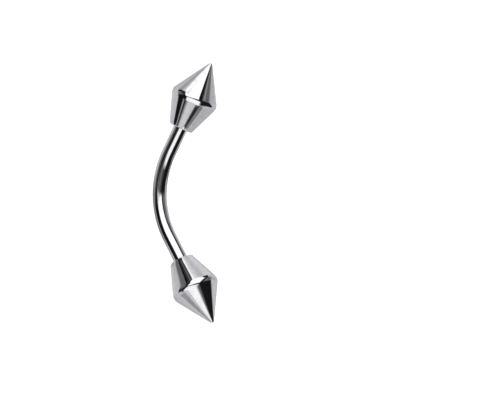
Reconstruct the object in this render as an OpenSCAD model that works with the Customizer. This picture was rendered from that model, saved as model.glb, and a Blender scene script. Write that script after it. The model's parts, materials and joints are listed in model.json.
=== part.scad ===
// Eyebrow barbell: a bent bar with a double-cone spike screwed onto each end.
// It lies as it comes to rest by itself, on the bar's bulge and both spikes' belts, with its tips raised.
// +Y runs from the lower spike to the upper one, the bulge points to -X, and +Z is up.
// The origin is the middle of the footprint, on the surface that it lies on.

/* [Bar] */
// Diameter of the bar, 16 gauge
bar_d = 1.3; // [1:0.05:1.5]
// Radius of the bend, to the middle of the bar
bend_r = 8.6; // [8:0.1:11]
// Angle that the bar turns through, from one straight end to the other
bend_angle = 55; // [42:1:62]
// Straight length between the bend and each spike's seat
straight_l = 2.4; // [1:0.1:3.5]

/* [Threaded posts] */
// Length of each post, the bar's threaded end inside a spike
post_l = 2.4; // [1.6:0.1:3]
// Shoulder that a spike seats against: the step from the bar down to the post, on the radius
post_step = 0.08; // [0.02:0.01:0.1]
// Chamfer round the end of a post
post_chamfer = 0.15; // [0.05:0.01:0.3]

/* [Spikes] */
// Diameter of a spike's base, over its rounded edge
base_d = 2.3; // [2.1:0.05:2.8]
// Diameter over the belt, the ridge where the two cones meet
belt_d = 4.4; // [3.6:0.1:5.2]
// Distance from the base to the belt
shoulder_l = 3; // [2.6:0.1:4]
// Distance from the base to the tip
spike_l = 6.6; // [5.8:0.1:8]
// Radius of the base's rounded edge
base_round = 0.12; // [0.06:0.01:0.2]
// Radius that the belt is rounded to
belt_round = 0.6; // [0.2:0.05:0.7]
// Radius that the tip is rounded to
tip_round = 0.22; // [0.08:0.01:0.3]

/* [Fits] */
// Running clearance between a post and its bore, on the radius
thread_clearance = 0.03; // [0.01:0.01:0.06]
// Gap between the bar's shoulder and a seated spike
seat_gap = 0.02; // [0.01:0.01:0.06]
// Room between the end of a post and the bottom of its bore
end_room = 0.1; // [0.05:0.01:0.3]
// Countersink round the mouth of a bore
mouth_chamfer = 0.08; // [0.04:0.01:0.15]

/* [Hidden] */
$fn = 96;

// Bending draws the bar down by a hair, so the bend is this much thinner than the straight ends, on the radius
bend_necking = 0.003;
// A straight end reaches this far into the bend, which joins the two in one solid
weld_l = 0.02;
// The bore ends in the cone that a twist drill leaves
drill_point_angle = 118;
// Cutting shapes run this far past the face that they cut
overcut = 0.1;

bar_r = bar_d / 2;
post_r = bar_r - post_step;
bore_r = post_r + thread_clearance;
bore_l = post_l + end_room - seat_gap;
end_angle = bend_angle / 2;

// The spike's outline runs round three circles, given by their centres as [radius, height]
base_edge = [base_d / 2 - base_round, base_round];
belt_edge = [belt_d / 2 - belt_round, shoulder_l];
tip_edge = [0, spike_l - tip_round];

// Middle of the belt, from the middle of the bulge, in the plane of the bend
belt_reach = bend_r * (1 - cos(end_angle)) + (straight_l + seat_gap + shoulder_l) * sin(end_angle);
tip_reach = belt_reach + (tip_edge.y - belt_edge.y) * sin(end_angle);

// Lying down, the plane of the bend leans until the bulge and both belts touch the same surface.
// The belt's lowest point then is as far down as the bar's, which is a quadratic in the lean's sine.
lean_a = pow(belt_reach, 2) + pow(belt_edge.x * sin(end_angle), 2);
lean_b = belt_reach * (belt_round - bar_r);
lean_c = pow(belt_edge.x, 2) - pow(belt_round - bar_r, 2);
lean = asin((lean_b + sqrt(pow(lean_b, 2) + lean_a * lean_c)) / lean_a);

// How far the part reaches to +X of the middle of the bulge: to a belt, or to a tip if that lies further out
belt_swing = belt_edge.x * sqrt(1 - pow(sin(end_angle) * cos(lean), 2)) + belt_round;
reach_x = max(belt_reach * cos(lean) + belt_swing, tip_reach * cos(lean) + tip_round);
bulge_x = (bar_r - reach_x) / 2;

// Direction of the outward normal where a straight line touches circle a, then circle b, on their outer side
function flank(a, b, round_a, round_b) =
    atan2(b.y - a.y, b.x - a.x) - acos((round_a - round_b) / norm(b - a));

// Point of a circle in that direction
function touch(centre, round, angle) = centre + round * [cos(angle), sin(angle)];

// Lays what is drawn in the plane of the bend, about the middle of the bulge, down on the surface
module lay_down() {
    translate([bulge_x, 0, bar_r])
        rotate([0, -lean, 0])
            children();
}

// Moves to the upper end of the bend, with +Z out along the straight end
module at_bend_end() {
    translate([bend_r * (1 - cos(end_angle)), bend_r * sin(end_angle), 0])
        rotate([-90, 0, -end_angle])
            children();
}

module bend() {
    translate([bend_r, 0, 0])
        rotate([0, 0, 180 - end_angle])
            rotate_extrude(angle = bend_angle)
                translate([bend_r, 0])
                    circle(r = bar_r - bend_necking);
}

// Straight end, shoulder and post, turned in one
module straight_end() {
    at_bend_end()
        rotate_extrude()
            polygon([
                [0, -weld_l],
                [bar_r, -weld_l],
                [bar_r, straight_l],
                [post_r, straight_l],
                [post_r, straight_l + post_l - post_chamfer],
                [post_r - post_chamfer, straight_l + post_l],
                [0, straight_l + post_l],
            ]);
}

module spike_outline() {
    shoulder = flank(base_edge, belt_edge, base_round, belt_round);
    cone = flank(belt_edge, tip_edge, belt_round, tip_round);
    intersection() {
        union() {
            polygon([
                [0, 0],
                [base_edge.x, 0],
                touch(base_edge, base_round, shoulder),
                touch(belt_edge, belt_round, shoulder),
                touch(belt_edge, belt_round, cone),
                touch(tip_edge, tip_round, cone),
                tip_edge,
            ]);
            translate(base_edge) circle(r = base_round);
            translate(belt_edge) circle(r = belt_round);
            translate(tip_edge) circle(r = tip_round);
        }
        square([belt_d, spike_l + overcut]);
    }
}

module bore_outline() {
    polygon([
        [0, -overcut],
        [bore_r + mouth_chamfer + overcut, -overcut],
        [bore_r, mouth_chamfer],
        [bore_r, bore_l],
        [0, bore_l + bore_r / tan(drill_point_angle / 2)],
    ]);
}

// A double cone turned from solid bar, with the blind bore that takes the post
module spike() {
    at_bend_end()
        translate([0, 0, straight_l + seat_gap])
            rotate_extrude()
                difference() {
                    spike_outline();
                    bore_outline();
                }
}

module curved_bar() {
    color("silver")
        lay_down() {
            bend();
            straight_end();
            mirror([0, 1, 0]) straight_end();
        }
}

module upper_spike() {
    color("gainsboro")
        lay_down()
            spike();
}

module lower_spike() {
    color("gainsboro")
        lay_down()
            mirror([0, 1, 0])
                spike();
}

curved_bar();
upper_spike();
lower_spike();
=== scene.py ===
import json
import math

import bmesh
import bpy
from mathutils import Matrix, Vector


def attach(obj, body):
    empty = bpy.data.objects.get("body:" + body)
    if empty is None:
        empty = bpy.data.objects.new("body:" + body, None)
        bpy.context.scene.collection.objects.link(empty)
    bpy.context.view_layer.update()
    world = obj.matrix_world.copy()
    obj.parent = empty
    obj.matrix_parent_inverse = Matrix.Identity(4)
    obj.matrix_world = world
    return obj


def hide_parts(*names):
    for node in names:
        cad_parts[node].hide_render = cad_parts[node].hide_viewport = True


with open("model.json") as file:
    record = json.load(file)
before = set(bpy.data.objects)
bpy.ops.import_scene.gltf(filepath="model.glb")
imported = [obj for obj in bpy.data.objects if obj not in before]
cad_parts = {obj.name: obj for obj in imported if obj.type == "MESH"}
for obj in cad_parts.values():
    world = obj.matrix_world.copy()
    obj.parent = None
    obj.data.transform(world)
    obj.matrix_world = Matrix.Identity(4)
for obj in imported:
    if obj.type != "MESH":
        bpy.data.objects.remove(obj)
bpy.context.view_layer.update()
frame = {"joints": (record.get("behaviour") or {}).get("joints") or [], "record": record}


# Bar: a 16 gauge rod of 316L stainless steel, bent cold round a former and polished to a mirror.
# Both ends are turned down to a post with a relief at its root, and a fine right-hand thread is
# cut on each. The two spikes screw onto these threads up to the bar's shoulders.
MM = 0.001
bar_r = 0.65 * MM
bend_r = 8.6 * MM
straight_l = 2.4 * MM
shoulder_edge = 0.01 * MM
relief_r = 0.41 * MM
relief_l = 0.2 * MM
post_r = 0.57 * MM
post_l = 2.4 * MM
post_chamfer = 0.15 * MM
bar_sides = 96
bend_steps = 32
seam_merge = 0.0001 * MM
smooth_up_to = math.radians(25)

# The thread has 60 degrees between its flanks and a narrow flat at its root. Its cutter starts in the
# relief, and it reaches a little past the post's surface.
thread_pitch = 0.25 * MM
thread_root_r = 0.42 * MM
thread_root_flat = 0.045 * MM
thread_slope = math.tan(math.radians(60 / 2))
thread_turns = 10
thread_steps = 48
cutter_r = 0.585 * MM
cutter_start = 0.14 * MM

# The spikes slide along the bar's ends, so their way gives the bend and the lean that the bar lies at.
# The mount of the piercing is the middle of the bulge.
upper_way = Vector(frame["joints"][0]["axis"])
half_bend = math.asin(math.hypot(upper_way.x, upper_way.z))
lean = math.atan2(upper_way.z, upper_way.x)
bulge_middle = Vector(frame["record"]["mounts"][0]["pos_m"])
lie_down = Matrix.Translation(bulge_middle) @ Matrix.Rotation(-lean, 4, "Y")
end_way = Vector((math.sin(half_bend), math.cos(half_bend), 0))
end_middle = Vector((bend_r * (1 - math.cos(half_bend)), bend_r * math.sin(half_bend), 0))


def shoulder_place(side):
    """The place of a piece that stands on the bar's shoulder with +Z outwards, as a matrix. The upper end is
    side 1 and the lower one is side -1."""
    middle = end_middle + end_way * straight_l
    middle.y *= side
    turn = -half_bend if side > 0 else half_bend - math.pi
    return lie_down @ Matrix.Translation(middle) @ Matrix.Rotation(turn, 4, "Z") @ Matrix.Rotation(
        -math.pi / 2, 4, "X"
    )


def start_piece(name):
    """Names the primitive that was just added, puts its place in its mesh and opens it for editing."""
    piece = bpy.context.object
    piece.name = name
    bpy.ops.object.transform_apply(location=True, rotation=True, scale=True)
    bpy.ops.object.mode_set(mode="EDIT")
    return piece


def pick(kind, wanted):
    """Selects the edges or faces of the piece being edited for which wanted is true."""
    bpy.ops.mesh.select_mode(type=kind)
    bpy.ops.mesh.select_all(action="DESELECT")
    shape = bmesh.from_edit_mesh(bpy.context.edit_object.data)
    parts = {"EDGE": shape.edges, "FACE": shape.faces}[kind]
    for part in parts:
        if wanted(part):
            part.select_set(True)
    shape.select_flush_mode()
    bmesh.update_edit_mesh(bpy.context.edit_object.data)


def take(piece):
    """Makes the piece the only one that is selected."""
    bpy.ops.object.select_all(action="DESELECT")
    piece.select_set(True)
    bpy.context.view_layer.objects.active = piece


def apply_modifier(piece, kind, **settings):
    """Adds one modifier to the piece and applies it at once."""
    take(piece)
    bpy.ops.object.modifier_add(type=kind)
    modifier = piece.modifiers[-1]
    for name, value in settings.items():
        setattr(modifier, name, value)
    bpy.ops.object.modifier_apply(modifier=modifier.name)


def face_outwards(piece):
    """Turns every face of a closed piece outwards."""
    take(piece)
    bpy.ops.object.mode_set(mode="EDIT")
    bpy.ops.mesh.select_all(action="SELECT")
    bpy.ops.mesh.normals_make_consistent(inside=False)
    bpy.ops.object.mode_set(mode="OBJECT")


def put_in_place(piece, place):
    """Moves the piece by a matrix, and leaves its object at the origin with the place in its mesh."""
    take(piece)
    piece.matrix_world = place
    bpy.ops.object.transform_apply(location=True, rotation=True, scale=True)


def draw_on(tip, length, radius):
    """Extrudes the bar's end ring by a length and takes it to a radius. Returns the new tip."""
    middle, old_radius = tip
    middle = middle + end_way * length
    scale = radius / old_radius
    bpy.ops.mesh.extrude_region_move(TRANSFORM_OT_translate={"value": end_way * length})
    bpy.ops.transform.resize(value=(scale, scale, scale), center_override=middle)
    return middle, radius


def thread_cutter(inner_r, inner_width, outer_r, outer_width, start, turns):
    """A solid strip, wound round +Z as a right-hand helix. The radii and widths are those of its section."""
    bpy.ops.object.select_all(action="DESELECT")
    bpy.ops.mesh.primitive_plane_add(
        size=1, location=((inner_r + outer_r) / 2, 0, start), rotation=(math.radians(90), 0, 0)
    )
    bpy.context.object.scale = (outer_r - inner_r, inner_width, 1)
    cutter = start_piece("thread_cutter")
    pick("EDGE", lambda edge: all(v.co.x > (inner_r + outer_r) / 2 for v in edge.verts))
    bpy.ops.transform.resize(
        value=(1, 1, outer_width / inner_width), center_override=(outer_r, 0, start)
    )
    bpy.ops.object.mode_set(mode="OBJECT")
    apply_modifier(
        cutter, "SCREW", angle=2 * math.pi, screw_offset=thread_pitch, iterations=turns,
        steps=thread_steps, render_steps=thread_steps, use_merge_vertices=False
    )
    bpy.ops.object.mode_set(mode="EDIT")
    bpy.ops.mesh.select_all(action="SELECT")
    bpy.ops.mesh.fill_holes(sides=4)
    bpy.ops.object.mode_set(mode="OBJECT")
    face_outwards(cutter)
    return cutter


def cut_away(piece, cutter):
    """Takes the cutter's solid away from the piece, and the cutter with it."""
    apply_modifier(piece, "BOOLEAN", operation="DIFFERENCE", solver="MANIFOLD", object=cutter)
    bpy.data.objects.remove(cutter)


# The upper half is spun and drawn out to the end of its post, and then mirrored
bpy.ops.object.select_all(action="DESELECT")
bpy.ops.mesh.primitive_circle_add(
    vertices=bar_sides, radius=bar_r, fill_type="NOTHING", rotation=(math.radians(90), 0, 0)
)
bar = start_piece("bent_bar")
bpy.ops.mesh.select_all(action="SELECT")
bpy.ops.mesh.spin(steps=bend_steps, angle=half_bend, center=(bend_r, 0, 0), axis=(0, 0, 1))
tip = (end_middle, bar_r)
tip = draw_on(tip, straight_l - shoulder_edge, bar_r)
tip = draw_on(tip, shoulder_edge, bar_r - shoulder_edge)
tip = draw_on(tip, 0, relief_r)
tip = draw_on(tip, relief_l, relief_r)
tip = draw_on(tip, post_r - relief_r, post_r)
tip = draw_on(tip, post_l - relief_l - (post_r - relief_r) - post_chamfer, post_r)
tip = draw_on(tip, post_chamfer, post_r - post_chamfer)
bpy.ops.mesh.edge_face_add()
bpy.ops.object.mode_set(mode="OBJECT")
apply_modifier(bar, "MIRROR", use_axis=(False, True, False), merge_threshold=seam_merge)
face_outwards(bar)
put_in_place(bar, lie_down)
cutter_width = thread_root_flat + 2 * (cutter_r - thread_root_r) * thread_slope
for side in (1, -1):
    cutter = thread_cutter(
        thread_root_r, thread_root_flat, cutter_r, cutter_width, cutter_start, thread_turns
    )
    put_in_place(cutter, shoulder_place(side))
    cut_away(bar, cutter)
take(bar)
bpy.ops.object.shade_smooth_by_angle(angle=smooth_up_to)


def hex_colour(code):
    """The linear colour of an sRGB hex value."""
    parts = [int(code[i:i + 2], 16) / 255 for i in (0, 2, 4)]
    return [c / 12.92 if c <= 0.04045 else ((c + 0.055) / 1.055) ** 2.4 for c in parts] + [1]


def add_node(tree, kind, settings=None, links=None):
    """Adds a node, sets its properties and inputs by name or number, and links its inputs to outputs."""
    node = tree.nodes.new(kind)
    for name, value in (settings or {}).items():
        if isinstance(name, str) and hasattr(node, name):
            setattr(node, name, value)
        else:
            node.inputs[name].default_value = value
    for name, source in (links or {}).items():
        tree.links.new(source, node.inputs[name])
    return node


# Mirror-polished 316L: buffed until it mirrors the room sharply, slightly cool, with a faint cloudiness
# of the polish and very shallow waves left by the buff, which make straight reflections tremble a little.
# The hairlines that are left are a hundredth of a micron deep, too shallow to see.
polish_light = "D4D4D6"
polish_dark = "ACACAE"
cloud_size = 0.45 * MM
thin_cloud = 0.3
thick_cloud = 0.7
clear_polish = 0.02
cloudy_polish = 0.05
wave_size = 0.7 * MM
wave_height = 0.0012 * MM
hairline_size = 0.05 * MM
hairline_height = 0.00001 * MM


def polished_steel(name, turn, stretch):
    """Mirror-polished steel. The piece's own axes are turned by turn, and stretch draws the hairlines out
    along them."""
    material = bpy.data.materials.new(name)
    material.use_nodes = True
    tree = material.node_tree
    tree.nodes.clear()
    place = add_node(tree, "ShaderNodeTexCoord").outputs["Object"]
    clouds = add_node(
        tree, "ShaderNodeTexNoise",
        {"Scale": 1 / cloud_size, "Detail": 3, "Roughness": 0.6},
        {"Vector": place},
    )
    tint = add_node(
        tree, "ShaderNodeMix",
        {"data_type": "RGBA", 6: hex_colour(polish_dark), 7: hex_colour(polish_light)},
        {0: clouds.outputs["Fac"]},
    )
    gloss = add_node(
        tree, "ShaderNodeMapRange",
        {
            "From Min": thin_cloud, "From Max": thick_cloud,
            "To Min": clear_polish, "To Max": cloudy_polish,
        },
        {"Value": clouds.outputs["Fac"]},
    )
    waves = add_node(
        tree, "ShaderNodeTexNoise", {"Scale": 1 / wave_size, "Detail": 1}, {"Vector": place}
    )
    wavy = add_node(
        tree, "ShaderNodeBump", {"Strength": 1, "Distance": wave_height}, {"Height": waves.outputs["Fac"]}
    )
    aligned = add_node(
        tree, "ShaderNodeMapping",
        {"vector_type": "TEXTURE", "Rotation": turn, "Scale": stretch},
        {"Vector": place},
    )
    hairlines = add_node(
        tree, "ShaderNodeTexNoise",
        {"Scale": 1 / hairline_size, "Detail": 2},
        {"Vector": aligned.outputs["Vector"]},
    )
    brushed = add_node(
        tree, "ShaderNodeBump",
        {"Strength": 1, "Distance": hairline_height},
        {"Height": hairlines.outputs["Fac"], "Normal": wavy.outputs["Normal"]},
    )
    shader = add_node(
        tree, "ShaderNodeBsdfPrincipled", {"Metallic": 1},
        {
            "Base Color": tint.outputs[2],
            "Roughness": gloss.outputs["Result"],
            "Normal": brushed.outputs["Normal"],
        },
    )
    add_node(tree, "ShaderNodeOutputMaterial", {}, {"Surface": shader.outputs["BSDF"]})
    return material


# Cutting the threads leaves an empty slot for a material. The bar was buffed by hand, so its hairlines
# run in no one direction.
bar.data.materials.clear()
bar.data.materials.append(polished_steel("buffed_bar_steel", (0, 0, 0), (1, 1, 1)))
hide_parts("curved_bar")
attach(bar, "bar")


# Spikes: two double cones, turned from solid 316L rod on a lathe and polished. A short shoulder cone
# widens from the base to a rounded belt, and a longer cone runs from there to a blunted tip. Each has
# a drilled and tapped blind hole in its base, countersunk at the mouth, and screws onto the bar's post.
base_r = 1.15 * MM
base_round = 0.12 * MM
belt_r = 2.2 * MM
belt_round = 0.6 * MM
tip_round = 0.22 * MM
shoulder_l = 3 * MM
spike_l = 6.6 * MM
seat_gap = 0.02 * MM
spike_sides = 160
base_steps = 8
belt_steps = 12
tip_rings = 6
shoulder_rings = 8
cone_rings = 20
large_face_weight = 80

# Polishing has eased the shoulder cone into the belt: a run-in lies between them, which leans less than
# the shoulder cone, and the edge where it starts is rounded over nearly its whole length
run_in_l = 0.17 * MM
run_in_angle = math.radians(-7)
run_in_bevel = 0.97 * run_in_l
run_in_steps = 8

# The tapped hole has the post's thread. The drill leaves a cone of 118 degrees at its end, which is closed
# a hair short of its point. The tap starts below the base and cuts from just inside the bore's wall.
bore_r = 0.6 * MM
bore_l = 2.48 * MM
mouth_r = 0.68 * MM
drill_slope = math.tan(math.radians(118 / 2))
drill_end_r = 0.03 * bore_r
tap_r = 0.65 * MM
tap_flat = 0.03 * MM
tap_overlap = 0.02 * MM
tap_start = -0.12 * MM
tap_turns = 9

# How the parts of the spike's mesh are told apart
same_height = 0.01 * MM
level_normal = 0.99
shortest_cone_edge = 3 * MM
shortest_shoulder_edge = 1.5 * MM
outside_mouth = 1.01 * mouth_r


def flank(low, low_round, high, high_round):
    """A straight flank that touches two rounds on their outer side: the angle of its outward normal, and its
    distance from the middle of the base."""
    across = high - low
    angle = math.atan2(across.y, across.x) - math.acos((low_round - high_round) / across.length)
    return angle, low.x * math.cos(angle) + low.y * math.sin(angle) + low_round


# The spike's outline, as radius and height. The cone and the run-in meet in the belt's sharp edge, and the
# shoulder cone and the base in the base's.
base_edge = Vector((base_r - base_round, base_round))
belt_edge = Vector((belt_r - belt_round, shoulder_l))
tip_edge = Vector((0, spike_l - tip_round))
cone_angle, cone_off = flank(belt_edge, belt_round, tip_edge, tip_round)
run_in_out = Vector((math.cos(run_in_angle), math.sin(run_in_angle)))
run_in_way = Vector((-run_in_out.y, run_in_out.x))
run_in_start = belt_edge + belt_round * run_in_out - run_in_l * run_in_way
run_in_off = run_in_start.dot(run_in_out)
shoulder_angle, shoulder_off = flank(base_edge, base_round, run_in_start, 0)
sharp_base_r = shoulder_off / math.cos(shoulder_angle)
sharp_belt_z = (cone_off * math.cos(run_in_angle) - run_in_off * math.cos(cone_angle)) / math.sin(
    cone_angle - run_in_angle
)
sharp_belt_r = (run_in_off - sharp_belt_z * math.sin(run_in_angle)) / math.cos(run_in_angle)


def grow(ring, height, radius):
    """Extrudes the picked face to a height and takes it to a radius. Returns these two, which are the new
    ring."""
    old_height, old_radius = ring
    scale = radius / old_radius
    bpy.ops.mesh.extrude_region_move(TRANSFORM_OT_translate={"value": (0, 0, height - old_height)})
    bpy.ops.transform.resize(value=(scale, scale, 1), center_override=(0, 0, height))
    return height, radius


def lies_at(edge, height):
    """Whether both ends of an edge are at a height."""
    return all(abs(v.co.z - height) < same_height for v in edge.verts)


def is_outside(edge):
    """Whether both ends of an edge are further out than the bore's mouth."""
    return min(math.hypot(v.co.x, v.co.y) for v in edge.verts) > outside_mouth


bpy.ops.object.select_all(action="DESELECT")
bpy.ops.mesh.primitive_cone_add(
    vertices=spike_sides, radius1=sharp_base_r, radius2=run_in_start.x, depth=run_in_start.y,
    end_fill_type="NGON", location=(0, 0, run_in_start.y / 2)
)
spike = start_piece("upper_double_cone")
pick("FACE", lambda face: face.normal.z > level_normal)
ring = (run_in_start.y, run_in_start.x)
ring = grow(ring, sharp_belt_z, sharp_belt_r)
for step in range(tip_rings):
    around = cone_angle + (math.pi / 2 - cone_angle) * step / tip_rings
    ring = grow(ring, tip_edge.y + tip_round * math.sin(around), tip_round * math.cos(around))
grow(ring, spike_l, ring[1])
bpy.ops.mesh.merge(type="CENTER")

# The belt's edge is rounded first, then the run-in's, then the base's
belt_bevel = belt_round * math.tan((cone_angle - run_in_angle) / 2)
pick("EDGE", lambda edge: lies_at(edge, sharp_belt_z))
bpy.ops.mesh.bevel(offset_type="OFFSET", offset=belt_bevel, segments=belt_steps)
pick("EDGE", lambda edge: lies_at(edge, run_in_start.y))
bpy.ops.mesh.bevel(offset_type="OFFSET", offset=run_in_bevel, segments=run_in_steps)
base_bevel = base_round * math.tan((shoulder_angle + math.pi / 2) / 2)
pick("EDGE", lambda edge: lies_at(edge, 0))
bpy.ops.mesh.bevel(offset_type="OFFSET", offset=base_bevel, segments=base_steps)

pick("FACE", lambda face: face.normal.z < -level_normal and len(face.verts) > 4)
ring = (0, base_r - base_round)
ring = grow(ring, 0, mouth_r)
ring = grow(ring, mouth_r - bore_r, bore_r)
ring = grow(ring, bore_l, bore_r)
ring = grow(ring, bore_l + (bore_r - drill_end_r) / drill_slope, drill_end_r)
bpy.ops.mesh.merge(type="CENTER")

pick("EDGE", lambda edge: edge.calc_length() > shortest_cone_edge)
bpy.ops.mesh.subdivide(number_cuts=cone_rings)
pick("EDGE", lambda edge: edge.calc_length() > shortest_shoulder_edge and is_outside(edge))
bpy.ops.mesh.subdivide(number_cuts=shoulder_rings)
bpy.ops.object.mode_set(mode="OBJECT")
face_outwards(spike)
tap_inner_r = bore_r - tap_overlap
tap_inner_width = tap_flat + 2 * (tap_r - tap_inner_r) * thread_slope
cut_away(spike, thread_cutter(tap_inner_r, tap_inner_width, tap_r, tap_flat, tap_start, tap_turns))
take(spike)
bpy.ops.object.shade_smooth_by_angle(angle=smooth_up_to)
apply_modifier(spike, "WEIGHTED_NORMAL", keep_sharp=True, weight=large_face_weight)

take(spike)
bpy.ops.object.duplicate(linked=False)
other_spike = bpy.context.object
other_spike.name = "lower_double_cone"

# The steel of a spike has the bar's polish, but its hairlines run round its axis, as the lathe and the
# buff left them. Each spike's body has its node's name.
lathe_stretch = (50, 50, 1)
for piece, side, node in ((spike, 1, "upper_spike"), (other_spike, -1, "lower_spike")):
    seat = shoulder_place(side) @ Matrix.Translation((0, 0, seat_gap))
    put_in_place(piece, seat)
    piece.data.materials.clear()
    piece.data.materials.append(polished_steel("turned_" + node + "_steel", seat.to_euler(), lathe_stretch))
    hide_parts(node)
    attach(piece, node)


# Camera: looks down on the barbell from the photograph's angle with a long lens. That is nearly straight
# down, from a little to the left and towards the lower end.
view_lean = Vector((-0.1084, -0.1054, 1))
view_roll = math.radians(0.24)
view_distance = 300 * MM
pixels_across = 480
pixels_down = 420
pixels_per_metre = 10817
origin_pixel = Vector((183.59, 195.8))
sensor_width = 36

back = view_lean.normalized()
level_right = (Vector((1, 0, 0)) - back.x * back).normalized()
level_up = back.cross(level_right)
right = level_right * math.cos(view_roll) + level_up * math.sin(view_roll)
up = level_up * math.cos(view_roll) - level_right * math.sin(view_roll)
beside = (origin_pixel.x - pixels_across / 2) / pixels_per_metre
above = (pixels_down / 2 - origin_pixel.y) / pixels_per_metre
bpy.ops.object.camera_add()
camera = bpy.context.object
camera.name = "camera"
turned = Matrix((right, up, back)).transposed().to_4x4()
camera.matrix_world = Matrix.Translation(back * view_distance - right * beside - up * above) @ turned
camera.data.sensor_width = sensor_width
camera.data.lens = sensor_width * view_distance * pixels_per_metre / pixels_across
bpy.context.scene.camera = camera


# Studio: a pale table lit from inside, a white tent, and the soft boxes and black cards that the
# polished steel mirrors. Only reflections see the cards, so they cast no shadow and show in no view.
table_size = 4000 * MM
glow_white = "FFFFFF"

# Opal acrylic, moulded matt: it gives an even white ground, with a cloudiness that can hardly be seen
acrylic_dark = "9C9C9C"
acrylic_light = "A2A2A2"
acrylic_cloud = 40 * MM
acrylic_roughness = 0.6
acrylic_glow = 0.8

bpy.ops.object.select_all(action="DESELECT")
bpy.ops.mesh.primitive_plane_add(size=table_size)
table = bpy.context.object
table.name = "table"
acrylic = bpy.data.materials.new("lit_acrylic")
acrylic.use_nodes = True
tree = acrylic.node_tree
tree.nodes.clear()
grain = add_node(
    tree, "ShaderNodeTexNoise",
    {"Scale": 1 / acrylic_cloud, "Detail": 2},
    {"Vector": add_node(tree, "ShaderNodeTexCoord").outputs["Object"]},
)
tint = add_node(
    tree, "ShaderNodeMix",
    {"data_type": "RGBA", 6: hex_colour(acrylic_dark), 7: hex_colour(acrylic_light)},
    {0: grain.outputs["Fac"]},
)
shader = add_node(
    tree, "ShaderNodeBsdfPrincipled",
    {
        "Roughness": acrylic_roughness,
        "Emission Color": hex_colour(glow_white),
        "Emission Strength": acrylic_glow,
    },
    {"Base Color": tint.outputs[2]},
)
add_node(tree, "ShaderNodeOutputMaterial", {}, {"Surface": shader.outputs["BSDF"]})
table.data.materials.append(acrylic)
table.visible_glossy = False

tent_white = "FBFAFF"
tent_strength = 0.91
world = bpy.data.worlds.new("white_tent")
world.use_nodes = True
tent = world.node_tree.nodes["Background"]
tent.inputs["Color"].default_value = hex_colour(tent_white)
tent.inputs["Strength"].default_value = tent_strength
bpy.context.scene.world = world
bpy.context.scene.view_settings.view_transform = "Standard"

card_distance = 500 * MM
card_spacing = 4 * MM
card_cells = 20
hung = []


def finish_card(card, size, level, soft):
    """Gives a card a glowing cloth and lets only reflections see it. The cloth fades out at the left, right,
    lower and upper edge, over the four lengths in soft, which are in the same unit as the card's size."""
    material = bpy.data.materials.new(card.name + "_cloth")
    material.use_nodes = True
    tree = material.node_tree
    tree.nodes.clear()
    place = add_node(tree, "ShaderNodeTexCoord").outputs["UV"]
    sheet = add_node(tree, "ShaderNodeSeparateXYZ", {}, {"Vector": place})
    shown = None
    for axis, start, end in (
        ("X", 0, soft[0] / size[0]), ("X", 1, 1 - soft[1] / size[0]),
        ("Y", 0, soft[2] / size[1]), ("Y", 1, 1 - soft[3] / size[1]),
    ):
        edge = add_node(
            tree, "ShaderNodeMapRange",
            {"interpolation_type": "SMOOTHSTEP", "From Min": start, "From Max": end},
            {"Value": sheet.outputs[axis]},
        ).outputs["Result"]
        if shown:
            edge = add_node(
                tree, "ShaderNodeMath", {"operation": "MULTIPLY"}, {0: shown, 1: edge}
            ).outputs[0]
        shown = edge
    glow = add_node(tree, "ShaderNodeEmission", {"Color": hex_colour(glow_white), "Strength": level})
    clear = add_node(tree, "ShaderNodeBsdfTransparent")
    mixed = add_node(tree, "ShaderNodeMixShader", {}, {0: shown, 1: clear.outputs[0], 2: glow.outputs[0]})
    add_node(tree, "ShaderNodeOutputMaterial", {}, {"Surface": mixed.outputs[0]})
    material.cycles.emission_sampling = "NONE"
    card.data.materials.append(material)
    card.visible_camera = False
    card.visible_diffuse = False
    card.visible_transmission = False
    card.visible_shadow = False


def hang_card(name, middle, size, level, soft, turn=0):
    """Hangs a card that faces the barbell, in front of the earlier ones. Its middle, size and soft edges are
    in degrees off the vertical, towards +X and +Y, and turn is in degrees anticlockwise. Its brightness is
    level."""
    bpy.ops.object.select_all(action="DESELECT")
    bpy.ops.mesh.primitive_grid_add(x_subdivisions=card_cells, y_subdivisions=card_cells, size=1)
    card = bpy.context.object
    card.name = name
    reach = card_distance - card_spacing * len(hung)
    hung.append(card)
    for corner in card.data.vertices:
        flat = Vector((corner.co.x * size[0], corner.co.y * size[1]))
        flat.rotate(Matrix.Rotation(math.radians(turn), 2))
        flat += Vector(middle)
        off = math.radians(flat.length)
        around = math.atan2(flat.y, flat.x)
        corner.co = reach * Vector(
            (math.sin(off) * math.cos(around), math.sin(off) * math.sin(around), math.cos(off))
        )
    finish_card(card, size, level, soft)


# North is +Y, the upper spike's side, and east is +X. The order counts, because a later card hangs in front
# of the earlier ones. First come the tent's walls, which reach past the horizon, with the black strips
# that draw the dark edges of the cones and the bar.
hang_card("left_dim", (-95, 30), (14, 24), 0.74, (5, 5, 8, 8), -25)
hang_card("left_wall", (-74.2, 34.1), (34.4, 70), 0.23, (8, 4, 6, 8), -25)
hang_card("left_fill", (-65, 15), (22, 26), 0.14, (6, 8, 8, 8))
hang_card("left_strip", (-48, 39), (28, 80), 0.01, (4, 4, 6, 3))
hang_card("left_low_flag", (-70.9, -6.5), (65.8, 51), 0.012, (7.3, 6, 8, 15), 6)
hang_card("left_line", (-70.5, -26.8), (9, 16), 0.36, (3, 3, 3, 3), -25)
hang_card("left_low_strip", (-49.8, -37.6), (37.6, 20), 0.01, (3, 17, 4, 4), -25)
hang_card("east_dim", (104, 28), (50, 44), 0.74, (8, 8, 8, 8))
hang_card("south_east_dim", (77, -82), (102, 28), 0.76, (8, 8, 6, 6))
hang_card("right_wall", (65, 38), (56, 78), 0.22, (4, 16, 5, 30))
hang_card("right_line", (57.5, 31), (11, 14), 0.46, (4, 4, 4, 4), 6)
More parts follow.
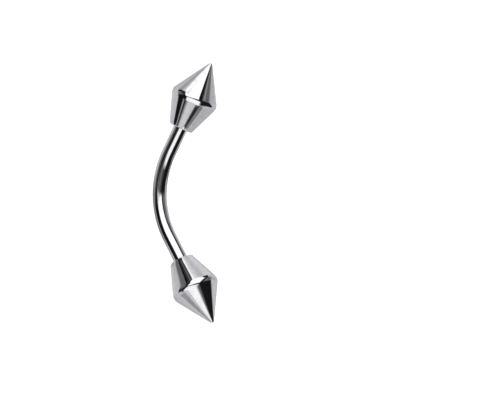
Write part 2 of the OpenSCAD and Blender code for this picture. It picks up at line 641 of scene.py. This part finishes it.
hang_card("low_grey", (20.5, -68.2), (29, 14), 0.32, (5, 4.5, 5, 3), -25)
hang_card("low_dark", (1.4, -60.7), (31.4, 14), 0.03, (9, 8, 5, 3), -25)
hang_card("low_left_grey", (-40, -71), (34, 28), 0.52, (6, 10, 5, 12), 40)
hang_card("north_west_dim", (-50, 130), (30, 60), 0.76, (8, 8, 14, 8))
hang_card("low_left_high", (-44, 85.7), (34, 26), 0.57, (6, 8, 8, 6), 40)
hang_card("high_light", (56, 96), (60, 30), 1.05, (12, 12, 8, 8), 25)

# The bright cloth beyond the two ends
hang_card("south_low_glow", (-4, -112), (56, 74), 2.2, (10, 10, 8, 8))
hang_card("north_low_glow", (6, 122), (54, 62), 2.2, (10, 10, 8, 8), 14)
hang_card("south_tent", (-31, -45), (68, 36), 1.03, (25, 22, 10, 6), -25)
hang_card("north_tent", (-12, 70), (50, 26), 1.05, (6, 14, 6, 12), 20)

# The dark of the room, which shows between the two soft boxes and at their right, and the light in it
hang_card("middle_back", (-10, -6), (80, 50), 0.015, (6, 6, 6, 6), -12)
hang_card("middle_gap", (-4, -4), (78, 24), 0.26, (26, 34, 6, 7), -10)
hang_card("right_flag", (53.6, -26), (88.4, 74), 0.015, (12, 11, 14, 8), 4)
hang_card("right_edge", (96.5, -23), (19, 34), 0.015, (2, 8, 8, 8))
hang_card("low_right_light", (81, -60), (36, 22), 0.8, (12, 6, 4, 6))
hang_card("middle_glow", (14, -4), (44, 26), 0.1, (14, 24, 8, 8))

# The north soft box, with the flags that trim it
hang_card("north_west_flag", (-60.8, 66.6), (46, 21), 0.02, (6, 8, 4, 5), 23)
hang_card("north_box", (-5, 37.4), (82, 65.2), 1.9, (4, 3, 4, 6))
hang_card("north_glow", (-20, 72), (18, 8), 1.8, (8, 3, 2, 2), -39)
hang_card("north_east_flag", (43, 72), (36, 16), 0.01, (5, 5, 4, 4), 20)
hang_card("right_strip", (43.4, 34.2), (23.4, 86), 0.012, (4, 10, 6, 6), -20)
hang_card("north_flag", (-42, 46), (21.5, 64), 0.05, (3, 6, 6, 8), -27)
hang_card("north_edge", (-37.6, 55.8), (12.6, 5), 0.2, (6, 3, 2, 2), 23)

# The south soft box, with the dark lip between the two boxes
hang_card("south_box", (-17, -29.3), (79.8, 40.4), 1.7, (9, 12, 5, 3), -26)
hang_card("south_line", (28.6, -28.7), (9, 12), 0.2, (4, 5, 4, 4), -26)
hang_card("south_box_top", (-10.1, -13.8), (78.4, 21.5), 1.7, (8, 9, 8, 6), -13)
hang_card("middle_lip", (-36, -1), (44, 7), 0.06, (6, 8, 2.5, 3), -6)
hang_card("gap_corner", (-41, 4.8), (16, 6), 0.05, (3, 5, 2, 3))

# Heights of the cards that lie level, in mm
on_table = 0.02
close_above = 21.8
far_below = -300
level_spacing = 10


def lay_shade(name, middle, size, level, soft, height):
    """Lays a flat card level at a height. Its middle, size, soft edges and height are in mm."""
    bpy.ops.object.select_all(action="DESELECT")
    bpy.ops.mesh.primitive_plane_add(size=1, location=(middle[0] * MM, middle[1] * MM, height * MM))
    shade = bpy.context.object
    shade.name = name
    shade.scale = (size[0] * MM, size[1] * MM, 1)
    finish_card(shade, size, level, soft)


# The barbell's own soft shadow on the table
lay_shade("left_shade", (-5.5, -1.6), (7, 10.2), 0.38, (4, 0.5, 2.5, 3), on_table)
lay_shade("lower_shade", (-2.1, -5.3), (2.2, 3), 0.3, (0.6, 0.3, 0.8, 0.4), on_table)
lay_shade("right_shade", (0.7, 2.4), (6, 6), 0.38, (0.5, 3, 2, 2), on_table)

# Cards so close that one piece alone mirrors each: the bar's upper half, the lower spike's shoulder and
# its cone
lay_shade("finger_flag", (-20.3, 7.6), (13.4, 6.4), 0.01, (2, 2, 1.5, 1.5), close_above)
lay_shade("shoulder_veil", (-8.2, 38.4), (11, 16), 1.25, (3.5, 3.5, 3, 3), close_above)
lay_shade("cone_glow", (-4, -33.2), (10, 12), 1.62, (2.5, 3, 3.5, 3), close_above)

# What the steel mirrors of the table itself, which is brighter at the left
lay_shade("table_below", (0, 0), (500, 500), 0.7, (1, 1, 1, 1), far_below)
lay_shade("table_left", (-210, 40), (260, 200), 0.92, (20, 100, 60, 60), far_below + level_spacing)

# One soft lamp overhead, which lights the table and isn't mirrored
lamp_size = 500 * MM
lamp_height = 600 * MM
lamp_power = 4
lit = bpy.data.lights.new("overhead_lamp", "AREA")
lit.size = lamp_size
lit.energy = lamp_power
lamp = bpy.data.objects.new("overhead_lamp", lit)
lamp.location = (0, 0, lamp_height)
lamp.visible_glossy = False
bpy.context.scene.collection.objects.link(lamp)
